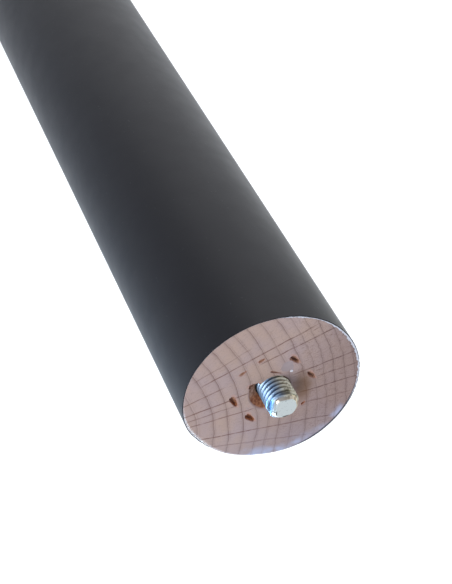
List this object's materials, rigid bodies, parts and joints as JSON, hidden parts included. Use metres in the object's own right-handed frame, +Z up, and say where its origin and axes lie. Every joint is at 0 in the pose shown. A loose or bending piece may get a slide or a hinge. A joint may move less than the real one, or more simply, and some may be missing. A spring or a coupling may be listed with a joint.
{
  "type": "screw-in furniture leg",
  "caption": "Straight round turned-wood furniture leg with a dark satin lacquer coat, a raw end-grain mounting face, a central threaded stud and a glide under its foot.",
  "frame": {"origin": "centre of the glide's underside, where the leg stands on the floor", "axes": "+Z up along the leg's axis, from the foot to the threaded stud; +X through the first of the eight dents in the mounting face, turned by 8 degrees"},
  "size_m": [0.045, 0.045, 0.3072],
  "materials": {
    "raw_beech": "raw sanded end grain",
    "primer": "thin pale primer film",
    "lacquer": "satin dark anthracite lacquer",
    "zinc_steel": "blue-clear zinc plating",
    "glue": "dried glue and wood dust",
    "glide_plastic": "moulded black plastic",
    "nail_steel": "bright steel"
  },
  "bodies": {
    "root": {"leg_core": "raw_beech", "primer_coat": "primer", "lacquer_coat": "lacquer", "hanger_bolt": "zinc_steel", "bolt_glue": "glue", "foot_glide": "glide_plastic", "glide_nail": "nail_steel"}
  },
  "joints": []
}
